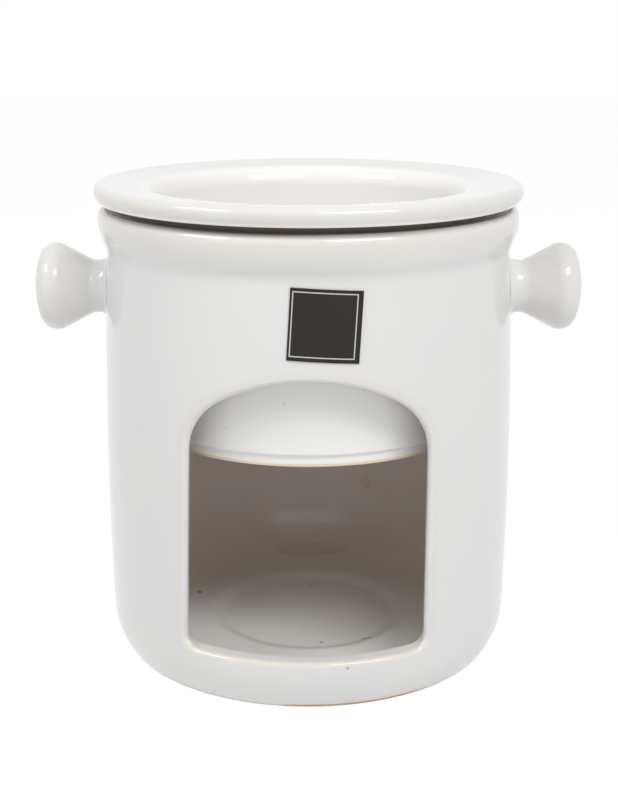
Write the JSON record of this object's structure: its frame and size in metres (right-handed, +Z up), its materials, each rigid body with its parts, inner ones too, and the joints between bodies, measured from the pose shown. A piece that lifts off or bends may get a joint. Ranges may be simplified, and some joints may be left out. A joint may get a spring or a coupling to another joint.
{
  "type": "chocolate fondue pot",
  "caption": "Glazed stoneware fondue pot: a deep bowl rests on a round stand with an arched tea-light window and side knobs.",
  "frame": {"origin": "centre of the stand's foot, on the table", "axes": "+Z up, -Y towards the side with the window, +X along the knobs to the right as seen from the window's side"},
  "size_m": [0.1726, 0.133, 0.1497],
  "materials": {
    "glaze": "glossy white glaze",
    "label": "black paper with a thin white line inside its edge"
  },
  "bodies": {
    "root": {"stand": "glaze", "bowl": "glaze", "label": "label"}
  },
  "joints": []
}
